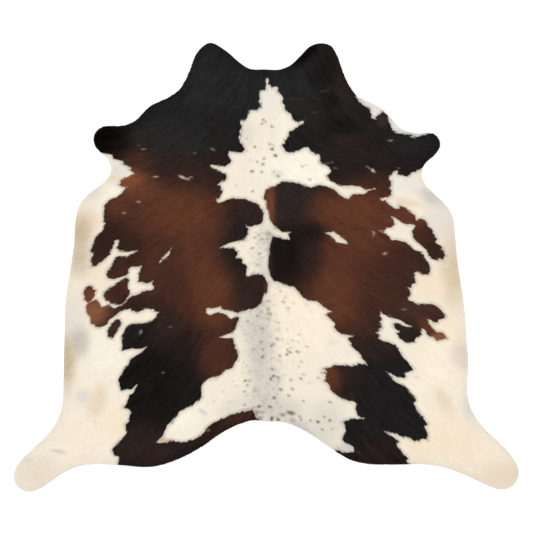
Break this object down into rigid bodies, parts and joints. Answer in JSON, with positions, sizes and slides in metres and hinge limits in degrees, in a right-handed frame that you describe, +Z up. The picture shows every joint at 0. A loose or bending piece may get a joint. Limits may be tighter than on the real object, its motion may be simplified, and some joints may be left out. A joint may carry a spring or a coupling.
{
  "type": "cowhide rug",
  "caption": "Flat floor rug made of one whole hair-on cowhide, with brown, black and cream patches, four short shanks and a notched neck.",
  "frame": {"origin": "on the floor under the middle of the hide's outline", "axes": "+X across the hide to the right of someone who looks down on the hair with the neck at the top, +Y along the spine to the neck, +Z up out of the hair"},
  "size_m": [2.2, 1.957, 0.0071],
  "materials": {
    "hair_on_hide": "short lying hair, brown, black and cream, with a soft sheen"
  },
  "bodies": {
    "root": {"hide": "hair_on_hide"}
  },
  "joints": []
}
